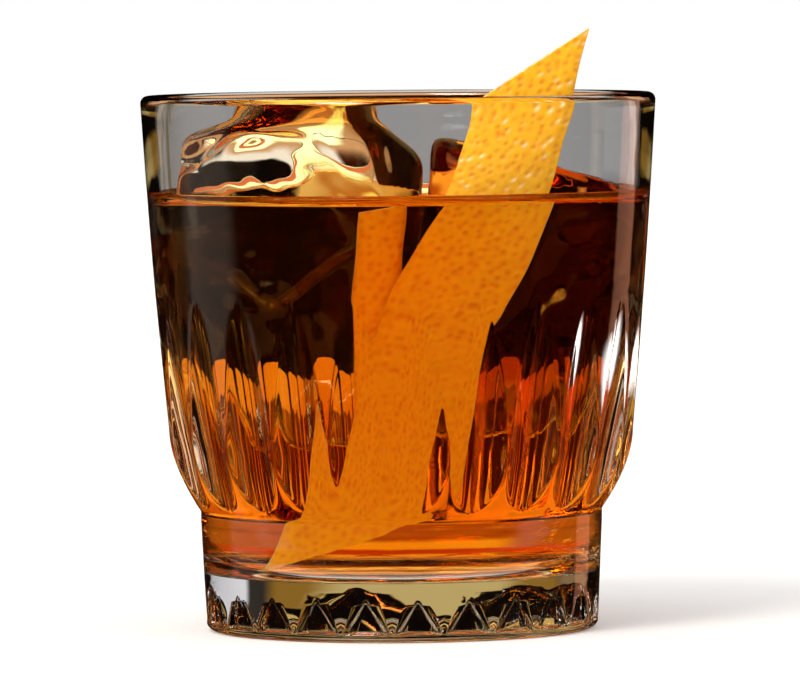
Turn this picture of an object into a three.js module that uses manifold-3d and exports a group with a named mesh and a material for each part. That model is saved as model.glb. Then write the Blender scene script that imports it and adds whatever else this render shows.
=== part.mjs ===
// An old fashioned: a pressed tumbler with a drink, two rocks of ice and a strip of orange peel.
// Millimetres, +Z up. The origin is the centre of the glass's foot, on the table. The drink is
// seen from -Y, with +X to the right.

import * as THREE from "three";
import { mergeVertices } from "three/addons/utils/BufferGeometryUtils.js";
import Module from "manifold-3d";

// Glass, outside
const GLASS_HEIGHT = 95.5;
const RIM_RADIUS = 46;
const BODY_BOTTOM_Z = 35.7;
const BODY_BOTTOM_RADIUS = 41.5;
const BODY_BULGE = 0.25;
const SHOULDER_BOTTOM_Z = 21.4;
const SHOULDER_POWER = 1.8;
const FOOT_TOP_Z = 19.6;
const FOOT_TOP_RADIUS = 35.8;
const FOOT_BOTTOM_RADIUS = 34.9;

// Glass, inside and underneath
const LIP_WALL = 2.7;
const LIP_ROUND = 1.35;
const LIP_STEPS = 6;
const FLOOR_Z = 10.1;
const FLOOR_CORNER_RADIUS = 4.5;
const CAVITY_BOTTOM_RADIUS = 29.6;
const CAVITY_BOTTOM_Z = 13.2;
const CAVITY_CURVE = 1.9;
const UNDERSIDE_RADIUS = 27;
const UNDERSIDE_DEPTH = 1;
const RING_OUTER_RADIUS = 32.8;

// Pressed pattern round the glass: long flutes on the shoulder and notches in the heel
const PATTERN_COUNT = 24;
const PATTERN_START_DEG = 4.5;
const COLUMNS_PER_FLUTE = 5;
const PLAIN_HALF_COLUMN_DEG = 6;
const FLUTE_TOP_Z = 59.5;
const FLUTE_BOTTOM_Z = 22.6;
const FLUTE_SAG = 0.3;
const FLUTE_CUTTER_RADIUS = 5.5;
const FLUTE_MAX_FILL = 0.94;
const NOTCH_TOP_Z = 7.6;
const NOTCH_BOTTOM_Z = 1.8;
const NOTCH_DEPTH = 1.3;
const NOTCH_FILL = 0.86;

// Contents
const GAP = 0.3;
const CUTTER_GAP = 0.4;
const DRINK_LEVEL = 76.6;
const MENISCUS_HEIGHT = 0.7;
const MENISCUS_WIDTH = 2;
const DRINK_COLUMNS = 44;
const ICE_ROUNDING_POWER = 20;
const ICE_DETAIL = 3;

// Orange peel: a strip cut from a round fruit, standing on the floor of the glass
const PEEL_WIDTH_TOP = 16.4;
const PEEL_WIDTH_BOTTOM = 18.2;
const PEEL_THICKNESS = 2.2;
const PEEL_CROWN = 1.2;
const PEEL_END_SLANT = 9;
const PEEL_ROWS = 20;
const PEEL_COLUMNS = 4;
const PEEL_LINE = [
  [-9.8, -17.2, 15.6],
  [1.2, -22.5, 40.5],
  [7.2, -26, 58.8],
  [17, -27.6, 78],
  [23.2, -28.2, 100.6],
];

// A rock of ice is the space inside flat faces, with melted edges. Each face is given by its
// direction (turn from +X, tilt up) and its distance from the rock's centre.
const LEFT_ICE = {
  centre: [-17, -2, 62],
  faces: [
    [90, 88, 32.2], [180, 66, 32.5], [0, 46, 31.2], [0, -6, 19.6], [182, -5, 19.3], [270, 6, 18],
    [228, -8, 19.6], [308, 10, 21], [92, -3, 17.5], [135, -8, 19.4], [50, 8, 20], [270, 55, 31.5],
    [100, 60, 30], [0, -90, 28], [190, -42, 23], [300, -50, 24.5], [80, -45, 25],
  ],
};
const LEFT_ICE_LOBE = {
  centre: [-24, -10, 76],
  faces: [
    [90, 80, 11.8], [180, 10, 15.2], [200, 50, 14.6], [0, 20, 20], [270, 20, 13.6], [235, 10, 13.2],
    [300, 25, 15], [90, 10, 12], [0, -90, 12], [210, -45, 13], [320, -40, 16],
  ],
};
const RIGHT_ICE = {
  centre: [20.5, 4, 60],
  faces: [
    [0, 73, 23.8], [178, 2, 15.8], [160, 55, 32], [2, -8, 17], [35, -12, 18.6], [335, -6, 19.6],
    [270, 6, 18.5], [90, -6, 18.4], [128, 4, 19.5], [230, 30, 22], [60, 50, 24], [0, -90, 24],
    [15, -42, 20.5], [190, -48, 23], [280, -50, 22], [90, -42, 22],
  ],
};

const radians = THREE.MathUtils.degToRad;
const lerp = THREE.MathUtils.lerp;
const clamp = THREE.MathUtils.clamp;

const wasm = await Module();
wasm.setup();

// Outside radius of the glass between its flutes, at height z
function outerRadius(z) {
  if (z >= BODY_BOTTOM_Z) {
    const t = (z - BODY_BOTTOM_Z) / (GLASS_HEIGHT - BODY_BOTTOM_Z);
    return lerp(BODY_BOTTOM_RADIUS, RIM_RADIUS, t) + BODY_BULGE * Math.sin(Math.PI * t);
  }
  if (z >= SHOULDER_BOTTOM_Z) {
    const t = (BODY_BOTTOM_Z - z) / (BODY_BOTTOM_Z - SHOULDER_BOTTOM_Z);
    return lerp(BODY_BOTTOM_RADIUS, FOOT_TOP_RADIUS, t ** SHOULDER_POWER);
  }
  return lerp(FOOT_BOTTOM_RADIUS, FOOT_TOP_RADIUS, clamp(z / FOOT_TOP_Z, 0, 1));
}

// Inside radius of the glass at height z, from the floor's corner up to the lip
function innerRadius(z) {
  const lip = RIM_RADIUS - LIP_WALL;
  const t = clamp((z - CAVITY_BOTTOM_Z) / (GLASS_HEIGHT - CAVITY_BOTTOM_Z), 0, 1);
  return lerp(CAVITY_BOTTOM_RADIUS, lip, 1 - (1 - t) ** CAVITY_CURVE);
}

// How deep the middle of a flute lies under the outside surface at height z
function fluteDepth(z) {
  if (z <= FLUTE_BOTTOM_Z || z >= FLUTE_TOP_Z) return 0;
  const t = (z - FLUTE_BOTTOM_Z) / (FLUTE_TOP_Z - FLUTE_BOTTOM_Z);
  const chord = lerp(outerRadius(FLUTE_BOTTOM_Z), outerRadius(FLUTE_TOP_Z), t);
  return Math.max(0, outerRadius(z) - chord - FLUTE_SAG * Math.sin(Math.PI * t) * (1 - t));
}

// Half the angle that a flute takes at height z, where its round cutter meets the surface
function fluteHalfAngle(z) {
  const halfWidth = Math.sqrt(2 * FLUTE_CUTTER_RADIUS * fluteDepth(z));
  const limit = (FLUTE_MAX_FILL * Math.PI) / PATTERN_COUNT;
  return Math.min(halfWidth / outerRadius(z), limit);
}

// A notch in the heel is a triangle, wide and deep at its foot
function notchAmount(z) {
  if (z < NOTCH_BOTTOM_Z || z >= NOTCH_TOP_Z) return 0;
  return (NOTCH_TOP_Z - z) / (NOTCH_TOP_Z - NOTCH_BOTTOM_Z);
}

// The angle and radius of the glass's outside, at one column of the pattern and one height.
// side runs from -1 to 1 across a flute.
function patternedSurface(flute, side, z, plainRadius) {
  const middle = radians(PATTERN_START_DEG) + (flute * 2 * Math.PI) / PATTERN_COUNT;
  const flutes = fluteHalfAngle(z);
  const notch = notchAmount(z);
  let halfAngle = radians(PLAIN_HALF_COLUMN_DEG);
  let radius = plainRadius;
  if (flutes > 0) {
    halfAngle = flutes;
    radius = plainRadius - fluteDepth(z) * (1 - side * side);
  }
  if (notch > 0) {
    halfAngle = Math.max(radians(0.4), (notch * NOTCH_FILL * Math.PI) / PATTERN_COUNT);
    radius = plainRadius - (Math.abs(side) < 1 ? notch * NOTCH_DEPTH : 0);
  }
  return { angle: middle + side * halfAngle, radius };
}

// Points of the glass's section, from under the foot, up the outside and down the inside.
// Only those marked pattern carry flutes or notches.
function glassSection() {
  const under = [
    [0, UNDERSIDE_DEPTH], [UNDERSIDE_RADIUS * 0.8, UNDERSIDE_DEPTH * 0.8],
    [UNDERSIDE_RADIUS, 0], [RING_OUTER_RADIUS, 0], [34.2, 0.55], [outerRadius(1.5), 1.5],
  ];
  const heights = [
    NOTCH_BOTTOM_Z, 4.7, NOTCH_TOP_Z, 14, FOOT_TOP_Z, SHOULDER_BOTTOM_Z, FLUTE_BOTTOM_Z,
    24.2, 26, 28.2, 31.4, BODY_BOTTOM_Z, 40.5, 46, 51.5, 56.5, FLUTE_TOP_Z, 62, 78,
  ];
  const outside = heights.map((z) => [outerRadius(z), z]);
  const lipTop = GLASS_HEIGHT - LIP_ROUND;
  const lipMiddle = outerRadius(lipTop) - LIP_ROUND;
  const lip = [];
  for (let step = 0; step <= LIP_STEPS; step++) {
    const turn = (Math.PI * step) / LIP_STEPS;
    lip.push([lipMiddle + LIP_ROUND * Math.cos(turn), lipTop + LIP_ROUND * Math.sin(turn)]);
  }
  const inside = [86, 72, 58, 46, 35, 26, 19].map((z) => [innerRadius(z), z]);
  const corner = [];
  for (let step = 1; step <= 3; step++) {
    const turn = (Math.PI / 2) * (step / 3);
    corner.push([
      CAVITY_BOTTOM_RADIUS - FLOOR_CORNER_RADIUS * (1 - Math.cos(turn)),
      FLOOR_Z + (CAVITY_BOTTOM_Z - FLOOR_Z) * (1 - Math.sin(turn)),
    ]);
  }
  const plain = (points) => points.map(([r, z]) => ({ r, z, pattern: false }));
  const patterned = outside.map(([r, z]) => ({ r, z, pattern: true }));
  return [...plain(under), ...patterned, ...plain(lip), ...plain(inside), ...plain(corner),
    { r: 0, z: FLOOR_Z, pattern: false }];
}

// Keeps only the positions, joined where they meet, and drops triangles with no area
function closed(geometry) {
  geometry.deleteAttribute("normal");
  geometry.deleteAttribute("uv");
  const merged = mergeVertices(geometry, 1e-4);
  const index = merged.index.array;
  const kept = [];
  for (let i = 0; i < index.length; i += 3) {
    const [a, b, c] = [index[i], index[i + 1], index[i + 2]];
    if (a !== b && b !== c && c !== a) kept.push(a, b, c);
  }
  merged.setIndex(kept);
  merged.computeVertexNormals();
  return merged;
}

function toSolid(geometry) {
  return new wasm.Manifold(new wasm.Mesh({
    numProp: 3,
    vertProperties: Float32Array.from(geometry.attributes.position.array),
    triVerts: Uint32Array.from(geometry.index.array),
  }));
}

function toGeometry(solid) {
  const mesh = solid.getMesh();
  const geometry = new THREE.BufferGeometry();
  geometry.setAttribute("position", new THREE.BufferAttribute(mesh.vertProperties, 3));
  geometry.setIndex(new THREE.BufferAttribute(mesh.triVerts, 1));
  geometry.computeVertexNormals();
  return geometry;
}

// A turned shape, whose columns the caller may move. place(column, point) gives angle and radius.
function turned(section, columns, place) {
  const points = section.map(({ r, z }) => new THREE.Vector2(r, z));
  const geometry = new THREE.LatheGeometry(points, columns);
  const position = geometry.attributes.position;
  for (let column = 0; column <= columns; column++) {
    section.forEach((point, row) => {
      const { angle, radius } = place(column % columns, point);
      const x = radius * Math.sin(angle);
      const y = -radius * Math.cos(angle);
      position.setXYZ(column * section.length + row, x, y, point.z);
    });
  }
  return closed(geometry);
}

function glassGeometry() {
  const columns = PATTERN_COUNT * COLUMNS_PER_FLUTE;
  const half = (COLUMNS_PER_FLUTE - 1) / 2;
  return turned(glassSection(), columns, (column, point) => {
    const flute = Math.floor(column / COLUMNS_PER_FLUTE);
    const side = ((column % COLUMNS_PER_FLUTE) - half) / half;
    if (point.pattern) return patternedSurface(flute, side, point.z, point.r);
    const middle = radians(PATTERN_START_DEG) + (flute * 2 * Math.PI) / PATTERN_COUNT;
    return { angle: middle + side * radians(PLAIN_HALF_COLUMN_DEG), radius: point.r };
  });
}

// Radius of a rock of ice from its centre in one direction, with grow added to each face
function rockRadius(direction, faces, grow) {
  let sum = 0;
  for (const [turn, tilt, distance] of faces) {
    const flat = Math.cos(radians(tilt));
    const along = direction.x * flat * Math.cos(radians(turn))
      + direction.y * flat * Math.sin(radians(turn))
      + direction.z * Math.sin(radians(tilt));
    sum += (Math.max(0, along) / (distance + grow)) ** ICE_ROUNDING_POWER;
  }
  return sum ** (-1 / ICE_ROUNDING_POWER);
}

function rockGeometry({ centre, faces }, grow = 0) {
  const geometry = closed(new THREE.IcosahedronGeometry(1, ICE_DETAIL));
  const position = geometry.attributes.position;
  const direction = new THREE.Vector3();
  const middle = new THREE.Vector3(...centre);
  for (let i = 0; i < position.count; i++) {
    direction.fromBufferAttribute(position, i).normalize();
    direction.multiplyScalar(rockRadius(direction, faces, grow)).add(middle);
    position.setXYZ(i, direction.x, direction.y, direction.z);
  }
  geometry.computeVertexNormals();
  return geometry;
}

function leftIceSolid(grow = 0) {
  return toSolid(rockGeometry(LEFT_ICE, grow)).add(toSolid(rockGeometry(LEFT_ICE_LOBE, grow)));
}

// A box bent along the peel's line, with slanting ends and the crown of the fruit across it
function peelGeometry(grow = 0) {
  const line = new THREE.CatmullRomCurve3(PEEL_LINE.map((point) => new THREE.Vector3(...point)));
  const length = line.getLength();
  const depth = PEEL_THICKNESS / 2 + grow;
  const geometry = closed(new THREE.BoxGeometry(2, 2, 2, PEEL_COLUMNS, 1, PEEL_ROWS));
  const position = geometry.attributes.position;
  const point = new THREE.Vector3();
  for (let i = 0; i < position.count; i++) {
    const side = position.getX(i);
    const face = position.getY(i);
    const along = (position.getZ(i) + 1) / 2;
    const reach = (along * 2 - 1) * grow + side * PEEL_END_SLANT;
    const travel = along + reach / length;
    const inside = clamp(travel, 0, 1);
    const tangent = line.getTangentAt(inside);
    const across = new THREE.Vector3(0, 1, 0).cross(tangent).normalize();
    const back = tangent.clone().cross(across).normalize();
    const halfWidth = lerp(PEEL_WIDTH_BOTTOM, PEEL_WIDTH_TOP, inside) / 2 + grow;
    point.copy(line.getPointAt(inside));
    point.addScaledVector(tangent, (travel - inside) * length);
    point.addScaledVector(across, side * halfWidth);
    point.addScaledVector(back, face * depth + PEEL_CROWN * side * side);
    position.setXYZ(i, point.x, point.y, point.z);
  }
  geometry.computeVertexNormals();
  return geometry;
}

// The drink fills the glass up to its level, creeps up the wall and leaves room for the rest
function drinkGeometry() {
  const wall = (z) => innerRadius(z) - GAP;
  const bottom = FLOOR_Z + GAP;
  const corner = CAVITY_BOTTOM_RADIUS - FLOOR_CORNER_RADIUS;
  const section = [
    { r: 0, z: bottom }, { r: corner, z: bottom },
    { r: CAVITY_BOTTOM_RADIUS - 1.9, z: bottom + 0.9 }, { r: CAVITY_BOTTOM_RADIUS - 0.4, z: 16.4 },
    ...[18, 22.5, 29, 37, 46, 56, 66].map((z) => ({ r: wall(z), z })),
    { r: wall(DRINK_LEVEL + MENISCUS_HEIGHT), z: DRINK_LEVEL + MENISCUS_HEIGHT },
    { r: wall(DRINK_LEVEL) - MENISCUS_WIDTH, z: DRINK_LEVEL },
    { r: 0, z: DRINK_LEVEL },
  ];
  const step = (2 * Math.PI) / DRINK_COLUMNS;
  const full = turned(section, DRINK_COLUMNS, (column, { r }) => ({ angle: column * step, radius: r }));
  const drink = toSolid(full)
    .subtract(leftIceSolid(CUTTER_GAP))
    .subtract(toSolid(rockGeometry(RIGHT_ICE, CUTTER_GAP)))
    .subtract(toSolid(peelGeometry(GAP)));
  return toGeometry(drink);
}

function finish(color, roughness, opacity = 1) {
  const look = { color, roughness, metalness: 0, transparent: opacity < 1, opacity };
  return new THREE.MeshStandardMaterial(look);
}

const group = new THREE.Group();

function addPiece(name, geometry, material) {
  const piece = new THREE.Mesh(geometry, material);
  piece.name = name;
  group.add(piece);
}

addPiece("glass", glassGeometry(), finish("#dfe2dc", 0.03, 0.3));
addPiece("drink", drinkGeometry(), finish("#a8430a", 0.05, 0.8));
addPiece("ice_left", toGeometry(leftIceSolid()), finish("#eadfca", 0.08, 0.5));
addPiece("ice_right", rockGeometry(RIGHT_ICE), finish("#eadfca", 0.08, 0.5));
addPiece("orange_peel", peelGeometry(), finish("#f2a408", 0.45));

export default group;
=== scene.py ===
# An old fashioned: a pressed rocks glass with an amber drink, two rocks of ice and a strip of
# orange peel. Each piece is modelled in millimetres, and its mesh is scaled to the frame's metres.
import math

import bmesh
import bpy
import numpy as np
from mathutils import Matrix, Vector
from mathutils.bvhtree import BVHTree


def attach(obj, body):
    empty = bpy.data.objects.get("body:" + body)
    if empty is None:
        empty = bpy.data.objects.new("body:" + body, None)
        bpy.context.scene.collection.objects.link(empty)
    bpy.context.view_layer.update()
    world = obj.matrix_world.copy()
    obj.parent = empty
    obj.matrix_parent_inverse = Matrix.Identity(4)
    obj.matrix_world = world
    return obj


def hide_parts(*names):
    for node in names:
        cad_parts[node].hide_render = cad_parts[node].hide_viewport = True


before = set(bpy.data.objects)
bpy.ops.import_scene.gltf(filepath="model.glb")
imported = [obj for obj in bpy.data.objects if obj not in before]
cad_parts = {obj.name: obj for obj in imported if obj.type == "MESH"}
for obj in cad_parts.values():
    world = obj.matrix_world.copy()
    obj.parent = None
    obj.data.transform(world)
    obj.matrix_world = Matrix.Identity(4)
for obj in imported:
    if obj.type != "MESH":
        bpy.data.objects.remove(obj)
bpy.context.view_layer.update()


# The glass
# A heavy tumbler of soda-lime glass. A plunger pressed it in a mould that gave the shoulder its 24
# long flutes and the heel its 24 notches, and a flame then rounded the lip and softened each edge.
MM = 0.001
GLASS_HEIGHT = 95.5
RIM_RADIUS = 46
BODY_BOTTOM_Z = 35.7
BODY_BOTTOM_RADIUS = 41.5
BODY_BULGE = 0.25
SHOULDER_BOTTOM_Z = 21.4
SHOULDER_POWER = 1.8
FOOT_TOP_Z = 19.6
FOOT_TOP_RADIUS = 35.8
FOOT_BOTTOM_RADIUS = 34.9
HEEL_BAND_Z = 1.5
RING_OUTER_RADIUS = 32.8
UNDERSIDE_RADIUS = 27
UNDERSIDE_DEPTH = 1
LIP_WALL = 2.7
LIP_ROUND = 1.35
FLOOR_Z = 10.1
FLOOR_FLAT_RADIUS = 24
CAVITY_BOTTOM_RADIUS = 29.6
CAVITY_BOTTOM_Z = 13.2
CAVITY_CURVE = 1.9
CORNER_TOP_Z = 16.3

PATTERN_COUNT = 24
PATTERN_START = math.radians(4.5)
HALF_PITCH = math.pi / PATTERN_COUNT
PLAIN_HALF_COLUMNS = math.radians(6)
LEAST_HALF_COLUMNS = math.radians(1.2)
FLUTE_TOP_Z = 59.5
FLUTE_BOTTOM_Z = 22.6
FLUTE_SAG = 0.3
FLUTE_CUTTER_RADIUS = 5.5
FLUTE_MAX_FILL = 0.94
FLUTE_EDGE_ROUND = 0.12
NOTCH_TOP_Z = 7.6
NOTCH_BOTTOM_Z = 1.8
NOTCH_DEPTH = 1.3
NOTCH_FILL = 0.86
NOTCH_BEVEL = 1.3
NOTCH_EDGE_ROUND = 0.1
BETWEEN_PATTERNS_Z = 14
FULLY_ROUNDED_DEPTH = 0.3
COLUMNS_OVER_CUT = 15
COLUMNS_BETWEEN_CUTS = 3
FADE_ABOVE_FLUTES = 4
FADE_ABOVE_NOTCHES = 3

CORNER_REACH = 0.9
CORNER_POINTS = 16
LIP_POINTS = 15
CAVITY_RINGS = 40
WALL_RINGS = [
    (NOTCH_BOTTOM_Z, 5), (8, 19), (18, 8), (36, 45), (64, 39), (GLASS_HEIGHT - LIP_ROUND, 11),
]


def blend(a, b, t):
    return a + (b - a) * t


def ease(low, high, value):
    t = np.clip((value - low) / (high - low), 0, 1)
    return t * t * (3 - 2 * t)


def soft_positive(value, rounding):
    return 0.5 * (value + np.sqrt(value * value + rounding * rounding))


def outer_radius(z):
    t = np.clip((z - BODY_BOTTOM_Z) / (GLASS_HEIGHT - BODY_BOTTOM_Z), 0, 1)
    body = blend(BODY_BOTTOM_RADIUS, RIM_RADIUS, t) + BODY_BULGE * np.sin(np.pi * t)
    t = np.clip((BODY_BOTTOM_Z - z) / (BODY_BOTTOM_Z - SHOULDER_BOTTOM_Z), 0, 1)
    shoulder = blend(BODY_BOTTOM_RADIUS, FOOT_TOP_RADIUS, t ** SHOULDER_POWER)
    foot = blend(FOOT_BOTTOM_RADIUS, FOOT_TOP_RADIUS, np.clip(z / FOOT_TOP_Z, 0, 1))
    return np.where(z >= BODY_BOTTOM_Z, body, np.where(z >= SHOULDER_BOTTOM_Z, shoulder, foot))


def inner_radius(z):
    t = np.clip((z - CAVITY_BOTTOM_Z) / (GLASS_HEIGHT - CAVITY_BOTTOM_Z), 0, 1)
    return blend(CAVITY_BOTTOM_RADIUS, RIM_RADIUS - LIP_WALL, 1 - (1 - t) ** CAVITY_CURVE)


def flute_depth(z):
    t = np.clip((z - FLUTE_BOTTOM_Z) / (FLUTE_TOP_Z - FLUTE_BOTTOM_Z), 0, 1)
    bottom = outer_radius(np.array(FLUTE_BOTTOM_Z))
    top = outer_radius(np.array(FLUTE_TOP_Z))
    cut = outer_radius(z) - blend(bottom, top, t) - FLUTE_SAG * np.sin(np.pi * t) * (1 - t)
    return np.where((t > 0) & (t < 1), np.maximum(cut, 0), 0)


def flute_half_angle(z):
    half_width = np.sqrt(2 * FLUTE_CUTTER_RADIUS * flute_depth(z))
    return np.minimum(half_width / outer_radius(z), FLUTE_MAX_FILL * HALF_PITCH)


def notch_amount(z):
    rising = np.clip((NOTCH_TOP_Z - z) / (NOTCH_TOP_Z - NOTCH_BOTTOM_Z), 0, 1)
    return rising * ease(HEEL_BAND_Z, NOTCH_BOTTOM_Z, z)


def notch_half_angle(z):
    rising = np.clip((NOTCH_TOP_Z - z) / (NOTCH_TOP_Z - NOTCH_BOTTOM_Z), 0, 1)
    return rising * NOTCH_FILL * HALF_PITCH


def column_half_angle(z):
    """The columns of the mesh close in on the edges of the flutes and the notches."""
    flutes = np.maximum(flute_half_angle(z), LEAST_HALF_COLUMNS)
    notches = np.maximum(notch_half_angle(z), LEAST_HALF_COLUMNS)
    above = ease(FLUTE_TOP_Z, FLUTE_TOP_Z + FADE_ABOVE_FLUTES, z)
    over_notches = ease(NOTCH_TOP_Z, NOTCH_TOP_Z + FADE_ABOVE_NOTCHES, z)
    between = over_notches * (1 - ease(FLUTE_BOTTOM_Z - FADE_ABOVE_FLUTES, FLUTE_BOTTOM_Z, z))
    pattern = np.where(z < BETWEEN_PATTERNS_Z, notches, flutes)
    return blend(pattern, PLAIN_HALF_COLUMNS, np.maximum(above, between))


def pattern_cut(angle, z, radius):
    """How deep the flutes and notches cut, at an angle from the middle of the nearest one."""
    depth = flute_depth(z)
    half = np.maximum(flute_half_angle(z), 1e-4)
    rounding = FLUTE_EDGE_ROUND * np.clip(depth / FULLY_ROUNDED_DEPTH, 0, 1)
    flutes = soft_positive(depth * (1 - (angle / half) ** 2), rounding)
    amount = notch_amount(z)
    bevel = NOTCH_BEVEL * (notch_half_angle(z) - np.abs(angle)) * radius
    floor = amount * NOTCH_DEPTH
    rounding = NOTCH_EDGE_ROUND * np.clip(floor / FULLY_ROUNDED_DEPTH, 0, 1)
    notches = soft_positive(floor - soft_positive(floor - bevel, rounding), rounding)
    return np.where(z < BETWEEN_PATTERNS_Z, np.where(amount > 0, notches, 0), flutes)


def inside_profile():
    """Radius and height down the inside of the glass, from the lip to the middle of its floor."""
    wall_z = np.linspace(GLASS_HEIGHT - LIP_ROUND, CORNER_TOP_Z, CAVITY_RINGS)
    wall = np.stack([inner_radius(wall_z), wall_z], axis=1)
    start = wall[-1]
    slope = wall[-1] - wall[-2]
    reach = (start[1] - FLOOR_Z) * CORNER_REACH
    points = np.array([
        start, start + slope / np.linalg.norm(slope) * reach * 0.7,
        [FLOOR_FLAT_RADIUS + reach * 0.5, FLOOR_Z], [FLOOR_FLAT_RADIUS - 2, FLOOR_Z],
    ])
    t = np.linspace(0, 1, CORNER_POINTS + 1)[1:, None]
    corner = ((1 - t) ** 3 * points[0] + 3 * t * (1 - t) ** 2 * points[1]
              + 3 * t * t * (1 - t) * points[2] + t ** 3 * points[3])
    floor = np.array([[r, FLOOR_Z] for r in (16, 8)])
    return np.concatenate([wall, corner, floor])


def turned_mesh(name, rings, first, last):
    """A closed mesh from rings of points, with one point on the axis at each end."""
    count, columns = rings.shape[:2]
    points = np.concatenate([rings.reshape(-1, 3), [first], [last]]) * MM
    row = np.arange(count - 1)[:, None] * columns
    column = np.arange(columns)[None, :]
    following = (column + 1) % columns
    quads = np.stack([row + column, row + following,
                      row + columns + following, row + columns + column], axis=-1)
    around = np.arange(columns)
    after = (around + 1) % columns
    start = np.stack([np.full(columns, count * columns), after, around], axis=-1)
    top = (count - 1) * columns
    end = np.stack([top + around, top + after, np.full(columns, count * columns + 1)], axis=-1)
    mesh = bpy.data.meshes.new(name)
    faces = quads.reshape(-1, 4).tolist() + start.tolist() + end.tolist()
    mesh.from_pydata(points.tolist(), [], faces)
    mesh.polygons.foreach_set("use_smooth", [True] * len(mesh.polygons))
    mesh.update()
    return mesh


def new_piece(name, mesh):
    piece = bpy.data.objects.new(name, mesh)
    bpy.context.scene.collection.objects.link(piece)
    return piece


def glass_mesh():
    """Rings of points up the outside and down the inside, in columns that follow the pattern."""
    across = np.sin(np.linspace(-0.5, 0.5, COLUMNS_OVER_CUT) * np.pi)
    land = np.linspace(0, 1, COLUMNS_BETWEEN_CUTS + 2)[1:-1]
    turn = np.linspace(0, math.pi / 2, 9)
    under_r = np.array([9, 16, 21, 24, 26, UNDERSIDE_RADIUS])
    under_z = UNDERSIDE_DEPTH * (1 - (under_r / UNDERSIDE_RADIUS) ** 6)
    heel_reach = outer_radius(np.array(HEEL_BAND_Z)) - RING_OUTER_RADIUS
    heel_r = RING_OUTER_RADIUS + heel_reach * np.sin(turn)
    heel_z = HEEL_BAND_Z * (1 - np.cos(turn))
    low = [HEEL_BAND_Z, *[z for z, _ in WALL_RINGS]]
    wall_z = np.concatenate([np.linspace(start, z, count + 1)[1:]
                             for start, (z, count) in zip(low, WALL_RINGS)])
    lip_turn = np.linspace(0, math.pi, LIP_POINTS + 2)[1:-1]
    lip_out = outer_radius(np.array(GLASS_HEIGHT - LIP_ROUND))
    lip_in = inner_radius(np.array(GLASS_HEIGHT - LIP_ROUND))
    lip_r = (lip_out + lip_in) / 2 + (lip_out - lip_in) / 2 * np.cos(lip_turn)
    lip_z = GLASS_HEIGHT - LIP_ROUND + LIP_ROUND * np.sin(lip_turn)
    inside = inside_profile()
    r = np.concatenate([under_r, heel_r, outer_radius(wall_z), lip_r, inside[:, 0]])
    z = np.concatenate([under_z, heel_z, wall_z, lip_z, inside[:, 1]])
    patterned = np.zeros(len(r), bool)
    start = len(under_r) + len(heel_r)
    patterned[start:start + len(wall_z)] = True

    half = np.where(patterned, column_half_angle(z), PLAIN_HALF_COLUMNS)[:, None]
    inner = across[None, :] * half
    outer = half + land[None, :] * (2 * HALF_PITCH - 2 * half)
    relative = np.concatenate([inner, outer], axis=1)
    nearest = relative - 2 * HALF_PITCH * (relative > HALF_PITCH)
    cut = pattern_cut(nearest, z[:, None], r[:, None]) * patterned[:, None]
    radius = np.tile(r[:, None] - cut, (1, PATTERN_COUNT))
    middles = PATTERN_START + np.arange(PATTERN_COUNT) * 2 * HALF_PITCH
    angle = (middles[None, :, None] + relative[:, None, :]).reshape(len(r), -1)
    rings = np.stack([radius * np.sin(angle), -radius * np.cos(angle),
                      np.repeat(z[:, None], angle.shape[1], axis=1)], axis=-1)
    return turned_mesh("tumbler", rings, (0, 0, UNDERSIDE_DEPTH), (0, 0, FLOOR_Z))


def linear(hex_colour):
    """An sRGB hex colour as linear light, with full alpha."""
    channels = [int(hex_colour[i:i + 2], 16) / 255 for i in (1, 3, 5)]
    return (*[c / 12.92 if c <= 0.04045 else ((c + 0.055) / 1.055) ** 2.4 for c in channels], 1)


def add_node(tree, kind, values=None, links=None, **settings):
    """Adds a node, sets its settings and its sockets' values, and links other sockets to it."""
    node = tree.nodes.new(kind)
    for name, value in settings.items():
        setattr(node, name, value)
    for socket, value in (values or {}).items():
        node.inputs[socket].default_value = value
    for socket, source in (links or {}).items():
        tree.links.new(source, node.inputs[socket])
    return node


def new_material(name):
    material = bpy.data.materials.new(name)
    material.use_nodes = True
    material.node_tree.nodes.clear()
    return material, material.node_tree


# Pressed soda-lime glass: clear and glossy, with a faint ripple that the mould leaves, a few
# millimetres from crest to crest.
RIPPLE_MM = 7
glass_material, tree = new_material("pressed_soda_lime_glass")
place = add_node(tree, "ShaderNodeTexCoord")
ripple = add_node(tree, "ShaderNodeTexNoise", {"Scale": 1 / (RIPPLE_MM * MM), "Detail": 1},
                  {"Vector": place.outputs["Object"]})
bump = add_node(tree, "ShaderNodeBump", {"Strength": 0.05, "Distance": 0.4 * MM},
                {"Height": ripple.outputs["Fac"]})
shader = add_node(tree, "ShaderNodeBsdfPrincipled",
                  {"Base Color": linear("#FFFFFF"), "Roughness": 0, "IOR": 1.52,
                   "Transmission Weight": 1},
                  {"Normal": bump.outputs["Normal"]})
add_node(tree, "ShaderNodeOutputMaterial", links={"Surface": shader.outputs[0]})

glass = new_piece("tumbler", glass_mesh())
glass.data.materials.append(glass_material)
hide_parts("glass")
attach(glass, "root")


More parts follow.
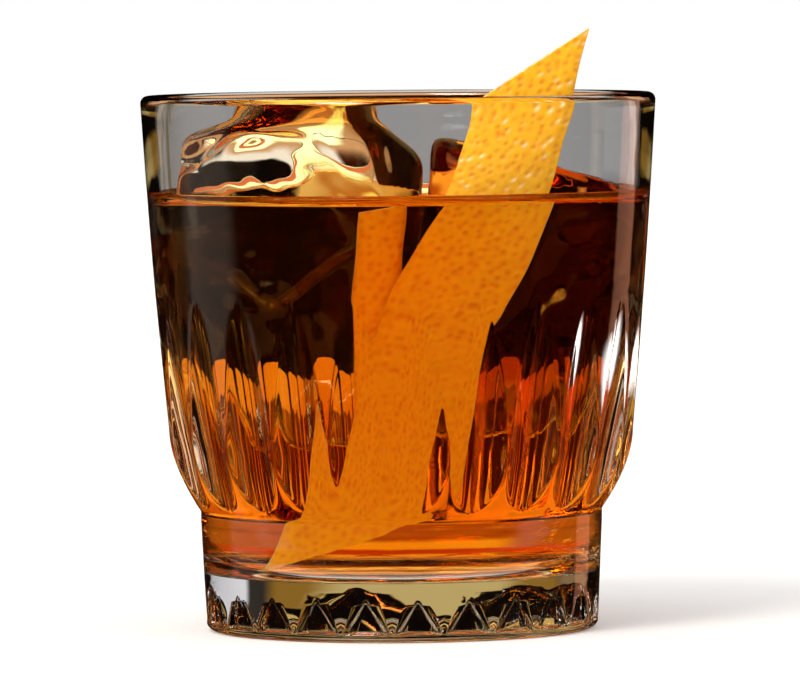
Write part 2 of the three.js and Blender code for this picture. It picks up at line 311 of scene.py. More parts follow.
# The ice
# Two rocks of clear ice, broken from a block with flat faces and then melted round at the edges by
# the drink. The left one has a lower front part that has melted into a long rounded lobe.
ICE_POWER = 26
ICE_DIVISIONS = 6
ICE_WAVE_MM = 0.22
ICE_WAVE_COUNT = 8
ICE_WAVE_RATES = (2.5, 7)
MELT_WAVE_MM = 0.05
MELT_WAVE_COUNT = 14
MELT_WAVE_RATES = (16, 34)
MELT_ROUNDING = 14
ICE_VOXEL_MM = 0.6
LEFT_ICE_CENTRE = (-17, -2, 62)
LEFT_ICE_FACES = [
    (90, 88, 32.2), (180, 66, 32.5), (0, 46, 31.2), (0, -6, 19.6), (182, -5, 19.3), (270, 6, 18),
    (228, -8, 19.6), (308, 10, 21), (92, -3, 17.5), (135, -8, 19.4), (50, 8, 20), (270, 55, 31.5),
    (100, 60, 30), (0, -90, 28), (190, -42, 23), (300, -50, 24.5), (80, -45, 25),
]
LOBE_CENTRE = (-24, -10, 76)
LOBE_FACES = [
    (90, 80, 11.8), (180, 2, 14.5), (200, 50, 14.6), (0, 20, 20), (270, 8, 13), (235, 2, 12.7),
    (300, 25, 15), (90, 10, 12), (0, -90, 22), (210, -45, 14.5), (320, -40, 20),
]
RIGHT_ICE_CENTRE = (20.5, 4, 60)
RIGHT_ICE_FACES = [
    (0, 73, 23.8), (178, 2, 15.8), (160, 55, 32), (2, -8, 17), (35, -12, 18.6), (335, -6, 19.6),
    (270, 6, 18.5), (90, -6, 18.4), (128, 4, 19.5), (230, 30, 22), (60, 50, 24), (0, -90, 24),
    (15, -42, 20.5), (190, -48, 23), (280, -50, 22), (90, -42, 22),
]


def rock_mesh(name, centre, faces, seed):
    """The space inside flat faces, each given by its turn, tilt and distance from the centre."""
    shape = bmesh.new()
    bmesh.ops.create_icosphere(shape, subdivisions=ICE_DIVISIONS, radius=1)
    mesh = bpy.data.meshes.new(name)
    shape.to_mesh(mesh)
    shape.free()
    directions = np.empty(len(mesh.vertices) * 3)
    mesh.vertices.foreach_get("co", directions)
    directions = directions.reshape(-1, 3)
    turn, tilt, distance = np.array(faces, float).T
    turn, tilt = np.radians(turn), np.radians(tilt)
    normals = np.stack([np.cos(tilt) * np.cos(turn), np.cos(tilt) * np.sin(turn), np.sin(tilt)])
    facing = np.maximum(directions @ normals, 0) / distance
    radius = (facing ** ICE_POWER).sum(axis=1) ** (-1 / ICE_POWER)
    draw = np.random.default_rng(seed)
    for _ in range(ICE_WAVE_COUNT):
        wave = draw.normal(size=3) * draw.uniform(*ICE_WAVE_RATES)
        radius += ICE_WAVE_MM / 3 * np.sin(directions @ wave + draw.uniform(0, 6.28))
    for _ in range(MELT_WAVE_COUNT):
        wave = draw.normal(size=3)
        wave *= draw.uniform(*MELT_WAVE_RATES) / np.linalg.norm(wave)
        radius += MELT_WAVE_MM / 2 * np.sin(directions @ wave + draw.uniform(0, 6.28))
    points = (directions * radius[:, None] + np.array(centre)) * MM
    mesh.vertices.foreach_set("co", points.ravel())
    mesh.polygons.foreach_set("use_smooth", [True] * len(mesh.polygons))
    mesh.update()
    return mesh


def baked(piece):
    """Applies the modifiers of a piece to its mesh."""
    graph = bpy.context.evaluated_depsgraph_get()
    mesh = bpy.data.meshes.new_from_object(piece.evaluated_get(graph))
    old = piece.data
    piece.modifiers.clear()
    piece.data = mesh
    bpy.data.meshes.remove(old)
    mesh.polygons.foreach_set("use_smooth", [True] * len(mesh.polygons))
    mesh.update()


def join_solid(piece, other_mesh, operation):
    """Joins another solid to a piece, or cuts it away, and drops the other."""
    other = new_piece("other", other_mesh)
    step = piece.modifiers.new("step", "BOOLEAN")
    step.operation = operation
    step.solver = "MANIFOLD"
    step.object = other
    baked(piece)
    bpy.data.objects.remove(other)
    bpy.data.meshes.remove(other_mesh)


# Clear wet ice: glossy, with a skin of water over shallow melt hollows, which are in the mesh.
ice_material, tree = new_material("clear_melting_ice")
shader = add_node(tree, "ShaderNodeBsdfPrincipled",
                  {"Base Color": linear("#FFFFFF"), "Roughness": 0, "IOR": 1.335,
                   "Transmission Weight": 1})
output = add_node(tree, "ShaderNodeOutputMaterial", links={"Surface": shader.outputs[0]})

# The right rock is the same ice with an amber body, a painted reflection of the orange peel in it.
amber_reflection_ice_material = ice_material.copy()
amber_reflection_ice_material.name = "ice_with_painted_peel_reflection"
tree = amber_reflection_ice_material.node_tree
taken = add_node(tree, "ShaderNodeVolumeAbsorption",
                 {"Color": linear("#FDD27C"), "Density": 96})
tree.links.new(taken.outputs[0], tree.nodes[output.name].inputs["Volume"])

left_ice = new_piece("left_rock_of_ice",
                     rock_mesh("left_rock", LEFT_ICE_CENTRE, LEFT_ICE_FACES, seed=3))
join_solid(left_ice, rock_mesh("lobe", LOBE_CENTRE, LOBE_FACES, seed=4), "UNION")
even = left_ice.modifiers.new("even", "REMESH")
even.mode = "VOXEL"
even.voxel_size = ICE_VOXEL_MM * MM
melted = left_ice.modifiers.new("melted", "SMOOTH")
melted.factor = 0.5
melted.iterations = MELT_ROUNDING
baked(left_ice)
right_ice = new_piece("right_rock_of_ice",
                      rock_mesh("right_rock", RIGHT_ICE_CENTRE, RIGHT_ICE_FACES, seed=5))
for piece, node, material in ((left_ice, "ice_left", ice_material),
                              (right_ice, "ice_right", amber_reflection_ice_material)):
    piece.data.materials.clear()
    piece.data.materials.append(material)
    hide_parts(node)
    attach(piece, "root")


# The orange peel
# A strip cut from a ripe orange with a wide peeler, both ends trimmed on the slant. The rind faces
# out, waxy and full of small oil pits, and a thin layer of pale pith backs it.
PEEL_LINE = np.array([
    (-9.8, -17.2, 15.6), (1.2, -22.5, 40.5), (7.2, -26, 58.8), (17, -27.6, 78), (23.2, -28.2, 100.6),
])
PEEL_WIDTH_TOP = 16.4
PEEL_WIDTH_BOTTOM = 18.2
SUNK_PEEL_LINE = np.array([
    (-4.2, -20.6, 44), (-3.4, -22.2, 56), (-3.2, -22.8, 66), (-2.4, -23, 76.2),
])
SUNK_PEEL_WIDTH = 7.6
SUNK_PEEL_END_SLANT = 1
PEEL_THICKNESS = 2.2
PEEL_CROWN = 1.2
PEEL_END_SLANT = 9
PEEL_STEP_MM = 0.3
DRINK_LEVEL = 76.6
PIT_SPACING_MM = 1.7
PIT_ROW_SPACING = 0.87
PIT_SCATTER_MM = 0.28
PIT_RADIUS_MM = 0.42
PIT_DEPTH_MM = 0.26
PIT_FIELD_MM = 10
PIT_SEED = 11
# The painted glints of light lie a little to one side of the pits, long and thin.
GLINT_SHIFT_MM = (0.35, -0.3)
GLINT_SPREAD = (0.42, 0.12)
DRY_EDGE_MM = 0.6
EDGE_WOBBLE_MM = (0.25, 0.12)
SWELL_MM = (0.14, 0.12)
SPLINE_POINTS = 400


def spline(points, count):
    """Evenly spaced points on a smooth curve through the given ones, with their tangents."""
    ends = [2 * points[0] - points[1], *points, 2 * points[-1] - points[-2]]
    fine = []
    for a, b, c, d in zip(ends, ends[1:], ends[2:], ends[3:]):
        t = np.linspace(0, 1, 64, endpoint=False)[:, None]
        fine.append(0.5 * (2 * b + (c - a) * t + (2 * a - 5 * b + 4 * c - d) * t ** 2
                           + (3 * b - a - 3 * c + d) * t ** 3))
    fine = np.concatenate([*fine, [points[-1]]])
    travel = np.concatenate([[0], np.cumsum(np.linalg.norm(np.diff(fine, axis=0), axis=1))])
    even = np.linspace(0, travel[-1], count)
    line = np.stack([np.interp(even, travel, fine[:, axis]) for axis in range(3)], axis=1)
    tangents = np.gradient(line, even, axis=0)
    tangents /= np.linalg.norm(tangents, axis=1, keepdims=True)
    return line, tangents, travel[-1]


def peel_mesh(name, points, width_bottom, width_top, end_slant):
    """A strip along a line, with pits in its front and painted glints of light beside the dry ones.
    """
    line, tangents, length = spline(points, SPLINE_POINTS)
    rows = int(length / PEEL_STEP_MM)
    columns = int(width_bottom / PEEL_STEP_MM)
    side = np.linspace(-1, 1, columns)[None, :]
    along = np.linspace(0, 1, rows)[:, None]
    travel = along + side * end_slant / length
    inside = np.clip(travel, 0, 1)
    at = inside * (len(line) - 1)
    base = np.stack([np.interp(at, np.arange(len(line)), line[:, k]) for k in range(3)], axis=-1)
    tangent = np.stack([np.interp(at, np.arange(len(line)), tangents[:, k]) for k in range(3)],
                       axis=-1)
    across = np.cross(np.array([0, 1, 0]), tangent)
    across /= np.linalg.norm(across, axis=-1, keepdims=True)
    back = np.cross(tangent, across)
    half_width = blend(width_bottom, width_top, inside) / 2
    draw = np.random.default_rng(PIT_SEED)
    wobble = (EDGE_WOBBLE_MM[0] * np.sin(travel * length / 6.5)
              + EDGE_WOBBLE_MM[1] * np.sin(travel * length / 2.3 + 1))
    middle = base + tangent * ((travel - inside) * length)[..., None]
    middle = middle + across * (side * (half_width + wobble * np.abs(side)))[..., None]
    middle = middle + back * (PEEL_CROWN * side ** 2)[..., None]

    # Pits in the rind, on a loose grid, and a painted glint of light beside each of them
    u = side * half_width
    v = travel * length
    pits = np.zeros_like(v)
    painted_glints = np.zeros_like(v)
    for row in np.arange(-end_slant, length + end_slant, PIT_SPACING_MM * PIT_ROW_SPACING):
        offset = draw.uniform(-0.5, 0.5) * PIT_SPACING_MM
        for column in np.arange(-PIT_FIELD_MM, PIT_FIELD_MM, PIT_SPACING_MM):
            pit_u = column + offset + draw.normal() * PIT_SCATTER_MM
            pit_v = row + draw.normal() * PIT_SCATTER_MM
            size = PIT_RADIUS_MM * draw.uniform(0.7, 1.25)
            near = np.abs(v - pit_v) < 3 * size
            square = ((u - pit_u)[near] ** 2 + (v - pit_v)[near] ** 2) / size ** 2
            pits[near] += draw.uniform(0.5, 1.15) * np.exp(-square)
            lean_u = (u - pit_u)[near] - GLINT_SHIFT_MM[0]
            lean_v = (v - pit_v)[near] - GLINT_SHIFT_MM[1]
            lit = np.exp(-((lean_u + lean_v) ** 2 / GLINT_SPREAD[0]
                           + (lean_u - lean_v) ** 2 / GLINT_SPREAD[1]))
            painted_glints[near] += draw.uniform(-0.7, 1) ** 3 * lit
    swell = (SWELL_MM[0] * np.sin(u / 2.1 + 1.3 * np.sin(v / 5))
             + SWELL_MM[1] * np.sin(v / 3.1 + u / 4))
    half_thickness = PEEL_THICKNESS / 2 * np.minimum(1, 0.45 + (1 - np.abs(side)) * 3)
    front = middle - back * (half_thickness + swell * 0.5 - PIT_DEPTH_MM * pits)[..., None]
    rear = middle + back * half_thickness[..., None]

    points = np.concatenate([front.reshape(-1, 3), rear.reshape(-1, 3)]) * MM
    index = np.arange(rows * columns).reshape(rows, columns)
    other = index + rows * columns

    def quads(a, b, c, d):
        return np.stack([a, b, c, d], axis=-1).reshape(-1, 4).tolist()

    rind = quads(index[:-1, :-1], index[:-1, 1:], index[1:, 1:], index[1:, :-1])
    pith = quads(other[:-1, :-1], other[1:, :-1], other[1:, 1:], other[:-1, 1:])
    pith += quads(index[:-1, 0], index[1:, 0], other[1:, 0], other[:-1, 0])
    pith += quads(index[1:, -1], index[:-1, -1], other[:-1, -1], other[1:, -1])
    pith += quads(index[0, 1:], index[0, :-1], other[0, :-1], other[0, 1:])
    pith += quads(index[-1, :-1], index[-1, 1:], other[-1, 1:], other[-1, :-1])
    mesh = bpy.data.meshes.new(name)
    mesh.from_pydata(points.tolist(), [], rind + pith)
    slots = [0] * len(rind) + [1] * len(pith)
    mesh.polygons.foreach_set("material_index", slots)
    mesh.polygons.foreach_set("use_smooth", [True] * len(mesh.polygons))
    # The mesh carries the painted shade of the pits, the painted glints, and where it is dry.
    dry = ease(DRINK_LEVEL, DRINK_LEVEL + DRY_EDGE_MM, front[:, :, 2])
    for name, amount in (("painted_pit_shade", pits), ("painted_glint", painted_glints * dry), ("dry", dry)):
        layer = mesh.attributes.new(name, "FLOAT", "POINT")
        values = np.concatenate([amount.ravel(), np.zeros(amount.size)])
        layer.data.foreach_set("value", np.clip(values, 0, 1))
    mesh.update()
    return mesh


# Orange rind: yellow orange wax over oil glands; painted shade in pits, painted glints by dry pits.
MOTTLE_MM = 1.2
PATCH_MM = 9
rind_material, tree = new_material("waxy_orange_rind")
place = add_node(tree, "ShaderNodeTexCoord")
mottle = add_node(tree, "ShaderNodeTexNoise", {"Scale": 1 / (MOTTLE_MM * MM), "Detail": 3},
                  {"Vector": place.outputs["Object"]})
patch = add_node(tree, "ShaderNodeTexNoise", {"Scale": 1 / (PATCH_MM * MM), "Detail": 2},
                 {"Vector": place.outputs["Object"]})
colours = add_node(tree, "ShaderNodeValToRGB", links={"Fac": mottle.outputs["Fac"]})
colours.color_ramp.elements[0].position = 0.3
colours.color_ramp.elements[0].color = linear("#F8A400")
colours.color_ramp.elements[1].position = 0.7
colours.color_ramp.elements[1].color = linear("#FFC60A")
deeper = add_node(tree, "ShaderNodeMix", {"B": linear("#FFB400")}, {
    "Factor": patch.outputs["Fac"], "A": colours.outputs["Color"]}, data_type="RGBA")
# Painted shade: the pits are a deeper orange, as if shadowed in their hollows.
painted_pit_shade = add_node(tree, "ShaderNodeAttribute", attribute_name="painted_pit_shade")
with_painted_pit_shade = add_node(tree, "ShaderNodeMix", {"B": linear("#EE8E00")}, {
    "Factor": painted_pit_shade.outputs["Fac"], "A": deeper.outputs["Result"]}, data_type="RGBA")
# Painted glints: pale yellow light beside the dry pits, where their rims would catch a lamp.
painted_glint = add_node(tree, "ShaderNodeAttribute", attribute_name="painted_glint")
with_painted_glints = add_node(tree, "ShaderNodeMix", {"B": linear("#FFF0B4")}, {
    "Factor": painted_glint.outputs["Fac"], "A": with_painted_pit_shade.outputs["Result"]}, data_type="RGBA")
dry = add_node(tree, "ShaderNodeAttribute", attribute_name="dry")
shader = add_node(tree, "ShaderNodeBsdfPrincipled",
                  {"Roughness": 0.4, "IOR": 1.4, "Coat Roughness": 0.12,
                   "Subsurface Weight": 0.15, "Subsurface Scale": 1.5 * MM,
                   "Subsurface Radius": (1, 0.5, 0.1)},
                  {"Base Color": with_painted_glints.outputs["Result"], "Coat Weight": dry.outputs["Fac"]})
add_node(tree, "ShaderNodeOutputMaterial", links={"Surface": shader.outputs[0]})

# Pith: soft white fibre, in random patches of yellow and cream.
FIBRE_MM = 2
pith_material, tree = new_material("citrus_pith")
place = add_node(tree, "ShaderNodeTexCoord")
fibre = add_node(tree, "ShaderNodeTexNoise", {"Scale": 1 / (FIBRE_MM * MM), "Detail": 4},
                 {"Vector": place.outputs["Object"]})
colours = add_node(tree, "ShaderNodeValToRGB", links={"Fac": fibre.outputs["Fac"]})
colours.color_ramp.elements[0].color = linear("#F0C060")
colours.color_ramp.elements[1].color = linear("#FBEFC8")
shader = add_node(tree, "ShaderNodeBsdfPrincipled", {"Roughness": 0.7},
                  {"Base Color": colours.outputs["Color"]})
add_node(tree, "ShaderNodeOutputMaterial", links={"Surface": shader.outputs[0]})

peel = new_piece("orange_peel_strip", peel_mesh("orange_peel_strip", PEEL_LINE,
                                                PEEL_WIDTH_BOTTOM, PEEL_WIDTH_TOP, PEEL_END_SLANT))
sunk_peel = new_piece("sunk_peel", peel_mesh("sunk_peel", SUNK_PEEL_LINE, SUNK_PEEL_WIDTH,
                                             SUNK_PEEL_WIDTH, SUNK_PEEL_END_SLANT))
for piece in (peel, sunk_peel):
    piece.data.materials.append(rind_material)
    piece.data.materials.append(pith_material)
    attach(piece, "root")
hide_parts("orange_peel")


# The drink
# Whiskey with a little syrup and bitters, clear and amber. It wets the glass, the ice and the peel,
# so its surface climbs a little at each, and it takes up the room that the ice leaves.
MENISCUS_HEIGHT = 1.9
MENISCUS_REACH = 1.4
MENISCUS_AT_PIECES = 0.5
WALL_OVERLAP = 0.06
DRINK_COLUMNS = 256
FINE_BAND = 3
FINE_RINGS = 8
SURFACE_RINGS = 26


def drink_mesh():
    """The inside of the glass up to the level, with the surface curving up to the wall."""
    inside = inside_profile()[::-1]
    step = np.gradient(inside, axis=0)
    normal = np.stack([step[:, 1], -step[:, 0]], axis=1)
    normal /= np.linalg.norm(normal, axis=1, keepdims=True)
    wetted = inside + normal * WALL_OVERLAP
    top = DRINK_LEVEL + MENISCUS_HEIGHT
    wetted = wetted[wetted[:, 1] < top - 0.3]
    rim = float(inner_radius(np.array(top))) + WALL_OVERLAP
    fine = np.linspace(0, 1, FINE_RINGS)[1:] ** 1.5 * FINE_BAND
    gap = np.concatenate([fine, np.linspace(FINE_BAND, rim - 1, SURFACE_RINGS)[1:]])
    wall = float(inner_radius(np.array(DRINK_LEVEL)))
    across = wall - gap
    z = DRINK_LEVEL + MENISCUS_HEIGHT * np.exp(-gap / MENISCUS_REACH)
    r = np.concatenate([wetted[:, 0], [rim], across[across > 0.5]])
    z = np.concatenate([wetted[:, 1], [top], z[across > 0.5]])
    angle = np.arange(DRINK_COLUMNS) * 2 * math.pi / DRINK_COLUMNS
    rings = np.stack([r[:, None] * np.sin(angle), -r[:, None] * np.cos(angle),
                      np.repeat(z[:, None], DRINK_COLUMNS, axis=1)], axis=-1)
    centre_z = FLOOR_Z - WALL_OVERLAP
    mesh = turned_mesh("drink", rings, (0, 0, centre_z), (0, 0, DRINK_LEVEL))
    climb(mesh, [left_ice, right_ice, peel])
    return mesh


def cutter_mesh(piece):
    """A copy of a rock, a little smaller, so that its room in the drink overlaps with it."""
    mesh = piece.data.copy()
    points = np.empty(len(mesh.vertices) * 3)
    normals = np.empty(len(mesh.vertices) * 3)
    mesh.vertices.foreach_get("co", points)
    mesh.vertices.foreach_get("normal", normals)
    mesh.vertices.foreach_set("co", points - normals * WALL_OVERLAP * MM)
    mesh.update()
    return mesh


def climb(mesh, others):
    """Raises the top of the drink close to the pieces that stand in it."""
    graph = bpy.context.evaluated_depsgraph_get()
    trees = [BVHTree.FromObject(other, graph) for other in others]
    for vertex in mesh.vertices:
        if vertex.co.z > (DRINK_LEVEL - 0.01) * MM:
            away = min(tree.find_nearest(vertex.co)[3] for tree in trees) / MM
            rise = MENISCUS_HEIGHT * MM * math.exp(-away / MENISCUS_REACH)
            vertex.co.z += rise * MENISCUS_AT_PIECES
    mesh.update()


# Amber spirit: it takes out the blue at once, the green over a few centimetres and little red.
drink_material, tree = new_material("amber_whiskey")
shader = add_node(tree, "ShaderNodeBsdfPrincipled",
                  {"Base Color": linear("#FFFFFF"), "Roughness": 0, "IOR": 1.335,
                   "Transmission Weight": 1})
taken = add_node(tree, "ShaderNodeVolumeAbsorption",
                 {"Color": linear("#F7DC77"), "Density": 115})
add_node(tree, "ShaderNodeOutputMaterial",
         links={"Surface": shader.outputs[0], "Volume": taken.outputs[0]})

drink = new_piece("drink_liquid", drink_mesh())
for rock in (left_ice, right_ice):
    join_solid(drink, cutter_mesh(rock), "DIFFERENCE")
drink.data.materials.clear()
drink.data.materials.append(drink_material)
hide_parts("drink")
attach(drink, "root")


# The floor
# White uncoated paper, wide enough to run out of sight all round. It catches the shadow of the
# glass, and the clear pieces look past it into the surroundings.
FLOOR_SIZE = 6
edge = FLOOR_SIZE / 2
floor_mesh = bpy.data.meshes.new("floor")
floor_mesh.from_pydata([(-edge, -edge, 0), (edge, -edge, 0), (edge, edge, 0), (-edge, edge, 0)],
                       [], [(0, 1, 2, 3)])
floor = new_piece("floor", floor_mesh)

# Uncoated paper: white, with no gloss at all.
floor_material, tree = new_material("white_matt_paper")
shader = add_node(tree, "ShaderNodeBsdfPrincipled",
                  {"Base Color": linear("#F6F5F3"), "Roughness": 0.9})
add_node(tree, "ShaderNodeOutputMaterial", links={"Surface": shader.outputs[0]})
floor_mesh.materials.append(floor_material)
floor.visible_transmission = False
floor.visible_glossy = False


# The small lights
# A row of orange lights curves behind the lower half of the glass, and a white one stands at its
# right. They light no paper or peel: the orange shows through the flutes, the white as a gloss.
GLOW_RADIUS = 50
GLOW_LOW = 20
GLOW_HIGH = 48
GLOW_STEP = math.radians(12)
GLOW_STEPS_EACH_WAY = 5
GLOW_STRENGTH_LEFT = 1.337
GLOW_STRENGTH_RIGHT = 0.573
GLOW_SIDES = (-3, 3)
STREAK_MM = 3.5
STREAK_SQUEEZE = 0.12
STREAK_EDGE = (0.5, 0.62)
STREAK_DROP_RIGHT = -0.62
FULL_GLOW_Z = (40, 44)
LAMP_PLACE = (80, 15, 39)
LAMP_WIDTH = 46
LAMP_HEIGHT = 15
LAMP_STRENGTH = 12.73
LAMP_CORE = 8
LAMP_REACH = 23
LAMP_FLATNESS = 2.6


def area_light(name, width, height):
    """A rectangular light, with the power that makes its face as bright as its nodes say."""
    light = bpy.data.lights.new(name, "AREA")
    light.shape = "RECTANGLE"
    light.size = width * MM
    light.size_y = height * MM
    light.energy = math.pi * light.size * light.size_y
    light.use_nodes = True
    light.node_tree.nodes.clear()
    return light, light.node_tree


def stand_light(light, place):
    """Stands a light at a place, facing the middle of the glass."""
    lamp = bpy.data.objects.new(light.name, light)
    bpy.context.scene.collection.objects.link(lamp)
    lamp.location = Vector(place) * MM
    inwards = Vector((-place[0], -place[1], 0))
    lamp.rotation_euler = inwards.to_track_quat("-Z", "Y").to_euler()
    lamp.visible_camera = False
    lamp.visible_diffuse = False
    return lamp


# The row is orange along its top and dim red with orange streaks below, and fades to the right.
glow, tree = area_light("orange_light", GLOW_RADIUS * GLOW_STEP, GLOW_HIGH - GLOW_LOW)
place = add_node(tree, "ShaderNodeNewGeometry").outputs["Position"]
parts = add_node(tree, "ShaderNodeSeparateXYZ", links={"Vector": place})
squeezed = add_node(tree, "ShaderNodeMapping", {"Scale": (1, 1, STREAK_SQUEEZE)},
                    {"Vector": place})
streak = add_node(tree, "ShaderNodeTexNoise", {"Scale": 1 / (STREAK_MM * MM), "Detail": 1},
                  {"Vector": squeezed.outputs["Vector"]})
height = add_node(tree, "ShaderNodeMapRange",
                  {"From Min": FULL_GLOW_Z[0] * MM, "From Max": FULL_GLOW_Z[1] * MM},
                  {"Value": parts.outputs["Z"]})
drop = add_node(tree, "ShaderNodeMapRange",
                {"From Min": GLOW_SIDES[0] * MM, "From Max": GLOW_SIDES[1] * MM,
                 "To Max": STREAK_DROP_RIGHT},
                {"Value": parts.outputs["X"]})
raised = add_node(tree, "ShaderNodeMath",
                  links={0: height.outputs["Result"], 1: streak.outputs["Fac"]}, operation="ADD")
lowered = add_node(tree, "ShaderNodeMath", links={0: raised.outputs[0], 1: drop.outputs["Result"]},
                   operation="ADD")
shine = add_node(tree, "ShaderNodeMapRange", {"From Min": STREAK_EDGE[0], "From Max": STREAK_EDGE[1]},
                 {"Value": lowered.outputs[0]})
colour = add_node(tree, "ShaderNodeMix", {"A": linear("#6C3019"), "B": linear("#FFB040")},
                  {"Factor": shine.outputs["Result"]}, data_type="RGBA")
strength = add_node(tree, "ShaderNodeMapRange",
                    {"From Min": GLOW_SIDES[0] * MM, "From Max": GLOW_SIDES[1] * MM,
                     "To Min": GLOW_STRENGTH_LEFT, "To Max": GLOW_STRENGTH_RIGHT},
                    {"Value": parts.outputs["X"]})
shader = add_node(tree, "ShaderNodeEmission",
                  links={"Color": colour.outputs["Result"], "Strength": strength.outputs["Result"]})
add_node(tree, "ShaderNodeOutputLight", links={"Surface": shader.outputs[0]})
for step in range(-GLOW_STEPS_EACH_WAY, GLOW_STEPS_EACH_WAY + 1):
    right = GLOW_RADIUS * math.sin(step * GLOW_STEP)
    back = GLOW_RADIUS * math.cos(step * GLOW_STEP)
    lamp = stand_light(glow, (right, back, (GLOW_LOW + GLOW_HIGH) / 2))
    lamp.visible_glossy = False

# The white light is brightest in its middle and fades out before its edges.
white_light, tree = area_light("white_side_light", LAMP_WIDTH, LAMP_HEIGHT)
place = add_node(tree, "ShaderNodeNewGeometry").outputs["Position"]
offset = add_node(tree, "ShaderNodeVectorMath", {1: Vector(LAMP_PLACE) * MM}, {0: place},
                  operation="SUBTRACT")
flattened = add_node(tree, "ShaderNodeVectorMath", {1: (1, 1, LAMP_FLATNESS)},
                     {0: offset.outputs[0]}, operation="MULTIPLY")
distance = add_node(tree, "ShaderNodeVectorMath", links={0: flattened.outputs[0]},
                    operation="LENGTH")
fade = add_node(tree, "ShaderNodeMapRange",
                {"From Min": LAMP_REACH * MM, "From Max": LAMP_CORE * MM, "To Max": LAMP_STRENGTH},
                {"Value": distance.outputs["Value"]}, interpolation_type="SMOOTHSTEP")
shader = add_node(tree, "ShaderNodeEmission", {"Color": linear("#FFFDF8")},
                  {"Strength": fade.outputs["Result"]})
add_node(tree, "ShaderNodeOutputLight", links={"Surface": shader.outputs[0]})
lamp = stand_light(white_light, LAMP_PLACE)
lamp.visible_transmission = False


# The surroundings
# The camera sees a white backdrop, and paper and peel get soft light from the front and above. The
# clear pieces bend dark felt, a grey card, a cream table top and narrow lights into view, and each
# depth of glass is given the part of the set that it looks into.
world = bpy.data.worlds.new("studio")
bpy.context.scene.world = world
world.use_nodes = True
tree = world.node_tree
tree.nodes.clear()
direction = add_node(tree, "ShaderNodeTexCoord").outputs["Generated"]
parts = add_node(tree, "ShaderNodeSeparateXYZ", links={"Vector": direction})
rise = add_node(tree, "ShaderNodeMath", links={0: parts.outputs["Z"]}, operation="ARCSINE")
tilt = add_node(tree, "ShaderNodeMath", {1: 180 / math.pi}, {0: rise.outputs[0]},
                operation="MULTIPLY").outputs[0]
bearing = add_node(tree, "ShaderNodeMath", links={0: parts.outputs["X"], 1: parts.outputs["Y"]},
                   operation="ARCTAN2")
turn = add_node(tree, "ShaderNodeMath", {1: 180 / math.pi}, {0: bearing.outputs[0]},
                operation="MULTIPLY").outputs[0]


def light_of(hex_colour, strength):
    return (*[channel * strength for channel in linear(hex_colour)[:3]], 1)


def lit_by(dark, cards):
    """Adds cards of light to a plain set, each over the ones before it.

    A card has the turn of its middle to the right of straight behind the glass, half its width,
    the softness of its sides, its lowest and its highest tilt, their softness, and its light.
    Turns and tilts are in degrees.
    """
    plain = add_node(tree, "ShaderNodeRGB")
    plain.outputs[0].default_value = dark
    colour = plain.outputs[0]
    for middle, half_width, side_edge, low, high, tilt_edge, light in cards:
        aside = add_node(tree, "ShaderNodeMath", {1: middle}, {0: turn}, operation="SUBTRACT")
        wrapped = add_node(tree, "ShaderNodeMath", {1: -180, 2: 180}, {0: aside.outputs[0]},
                           operation="WRAP")
        away = add_node(tree, "ShaderNodeMath", links={0: wrapped.outputs[0]},
                        operation="ABSOLUTE")
        edges = [(away.outputs[0], half_width + side_edge / 2, half_width - side_edge / 2)]
        if low > -90:
            edges.append((tilt, low - tilt_edge / 2, low + tilt_edge / 2))
        if high < 90:
            edges.append((tilt, high + tilt_edge / 2, high - tilt_edge / 2))
        links = {}
        for value, unlit, lit in edges:
            amount = add_node(tree, "ShaderNodeMapRange", {"From Min": unlit, "From Max": lit},
                              {"Value": value, **links}, interpolation_type="SMOOTHSTEP")
            links = {"To Max": amount.outputs["Result"]}
        colour = add_node(tree, "ShaderNodeMix", {"B": light},
                          {"Factor": amount.outputs["Result"], "A": colour},
                          data_type="RGBA").outputs["Result"]
    return colour


FELT = light_of("#0A0604", 1)
KEY = (-148, 12, 8, 30, 55, 8, light_of("#FFFDF8", 14))
off_outside = lit_by(FELT, [
    (50.5, 8.5, 3, -12, 30, 3, light_of("#FFAA83", 1.2)),
    (-80, 16, 10, -12, 10, 3, light_of("#B8A898", 1)),
    KEY,
])
through_base = lit_by(FELT, [
    (-5, 36, 6, -2.6, 1.2, 1, light_of("#8C6626", 1)),
    (-4, 20, 10, -2.6, 0.8, 1, light_of("#BFA669", 1)),
    (0, 40, 20, -90, -8, 8, light_of("#5A2C10", 1)),
    (0, 30, 10, -25, -12, 3, light_of("#E8B080", 1)),
    (-50, 9, 6, -20, 1.5, 2, light_of("#8A6C48", 1)),
    (55, 15, 3, -5, 3.5, 1.5, light_of("#DCDADC", 1)),
    (0, 75, 20, -90, -32, 6, light_of("#D8D0C4", 1)),
    (0, 60, 10, 16, 50, 6, light_of("#C8A860", 1)),
    KEY,
])
through_walls = lit_by(FELT, [
    (0, 16, 4, -6, 5, 3, light_of("#9C9A98", 1)),
    (0, 14, 4, -60, -4, 4, light_of("#C8B090", 1)),
    (0, 40, 10, -26, -13.5, 2, light_of("#2A140A", 1)),
    (0, 75, 20, -90, -32, 6, light_of("#D8D0C4", 1)),
    (15.5, 1.5, 2, -6, 5, 3, light_of("#D8CCC0", 1)),
    (-12.5, 0.8, 0.8, -6, 5, 3, light_of("#7C765C", 1)),
    (-19, 2.5, 3, -8, 3, 3, light_of("#EAD7BB", 1)),
    (-66, 3, 3, -10, 50, 6, light_of("#FFE4C8", 1)),
    KEY,
])
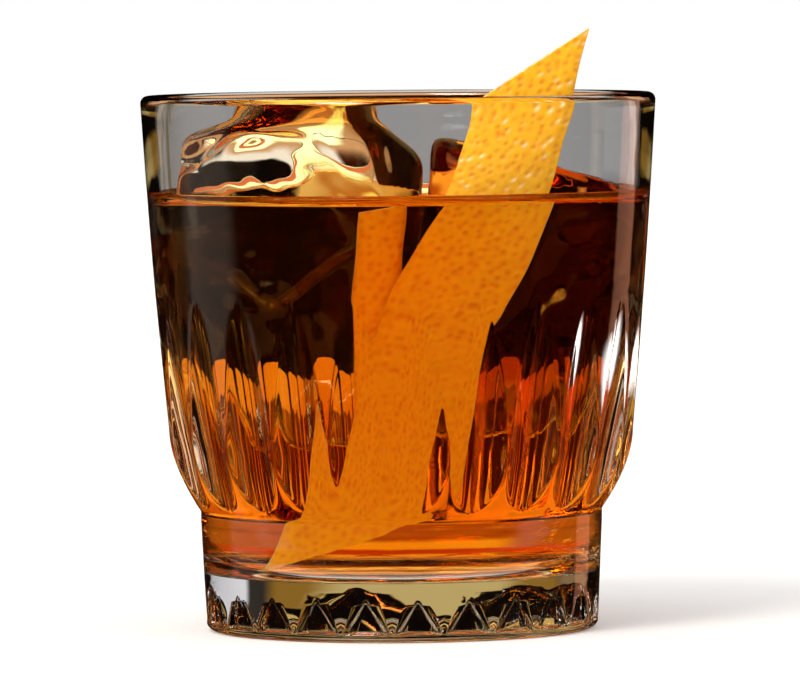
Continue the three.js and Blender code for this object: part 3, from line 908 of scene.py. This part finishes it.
through_drink = lit_by(FELT, [
    (0, 13, 5, -90, -4.6, 1, light_of("#FFEED0", 1.15)),
    (34, 13, 5, -5, -2.2, 1, light_of("#FFF4DC", 1.2)),
    (-29, 5, 4, -4, -1, 1, light_of("#FFF4DC", 1.2)),
    (0, 60, 20, -90, -9, 4, light_of("#F0B070", 0.9)),
    (0, 16, 8, -90, -12, 2, light_of("#F4F8B0", 1.9)),
    (0, 60, 20, -27, -17, 2, light_of("#FF8448", 1)),
    (0, 45, 20, 8, 20, 2, light_of("#FFF2D0", 1.5)),
    (-66, 3, 3, -10, 50, 6, light_of("#FFE4C8", 1)),
    KEY,
])
on_surfaces = lit_by(light_of("#FFFFFF", 0.8), [
    (180, 110, 40, 5, 90, 20, light_of("#FFFFFF", 1.15)),
    (-140, 35, 30, 20, 70, 30, light_of("#FFFDF8", 2.2)),
])

# The numbers of surfaces that light has crossed once it is past each part of the glass, with a
# half so that they fall between two counts.
PAST_OUTSIDE = 0.5
PAST_BASE = 2.5
PAST_WALLS = 4.5
PAST_DRINK = 6
paths = add_node(tree, "ShaderNodeLightPath")
depth = paths.outputs["Transmission Depth"]
colour = off_outside
for least, beyond in ((PAST_OUTSIDE, through_base), (PAST_BASE, through_walls),
                      (PAST_WALLS, through_drink)):
    deeper = add_node(tree, "ShaderNodeMath", {1: least}, {0: depth}, operation="GREATER_THAN")
    colour = add_node(tree, "ShaderNodeMix",
                      links={"Factor": deeper.outputs[0], "A": colour, "B": beyond},
                      data_type="RGBA").outputs["Result"]

# What lies under the surface of the drink gets more light, because the drink takes much of it.
GAIN_IN_DRINK = 2.7
gain = add_node(tree, "ShaderNodeMapRange",
                {"From Min": PAST_BASE, "From Max": PAST_DRINK, "To Min": 1,
                 "To Max": GAIN_IN_DRINK},
                {"Value": depth}, interpolation_type="SMOOTHSTEP")
surface_light = add_node(tree, "ShaderNodeVectorMath",
                         links={0: on_surfaces, "Scale": gain.outputs["Result"]},
                         operation="SCALE")
scattered = add_node(tree, "ShaderNodeMath", {1: 0.5}, {0: paths.outputs["Diffuse Depth"]},
                     operation="GREATER_THAN")
colour = add_node(tree, "ShaderNodeMix", links={
    "Factor": scattered.outputs[0], "A": colour, "B": surface_light.outputs[0]}, data_type="RGBA")
backdrop = add_node(tree, "ShaderNodeMix", {"B": linear("#FFFFFF")}, {
    "Factor": paths.outputs["Is Camera Ray"], "A": colour.outputs["Result"]}, data_type="RGBA")
shader = add_node(tree, "ShaderNodeBackground", links={"Color": backdrop.outputs["Result"]})
add_node(tree, "ShaderNodeOutputWorld", links={"Surface": shader.outputs[0]})

# Light crosses glass, drink, ice and peel many times before it is out again.
scene = bpy.context.scene
scene.view_settings.view_transform = "Standard"
scene.cycles.use_denoising = True
scene.cycles.max_bounces = 28
scene.cycles.transmission_bounces = 26
scene.cycles.glossy_bounces = 8
scene.cycles.transparent_max_bounces = 8


# The camera
# A long lens about a metre and a half away, a little above the rim and rolled by half a degree.
CAMERA_DISTANCE = 1490
CAMERA_HEIGHT = 119
AIM_HEIGHT = 51
LENS_MM = 376
ROLL = math.radians(-0.52)
camera_data = bpy.data.cameras.new("camera")
camera_data.sensor_width = 36
camera_data.lens = LENS_MM
camera_data.clip_end = 20
camera = bpy.data.objects.new("camera", camera_data)
bpy.context.scene.collection.objects.link(camera)
camera.location = Vector((0, -CAMERA_DISTANCE, CAMERA_HEIGHT)) * MM
sight = Vector((0, 0, AIM_HEIGHT)) * MM - camera.location
camera.rotation_euler = sight.to_track_quat("-Z", "Y").to_euler()
camera.rotation_euler.rotate_axis("Z", ROLL)
bpy.context.scene.camera = camera
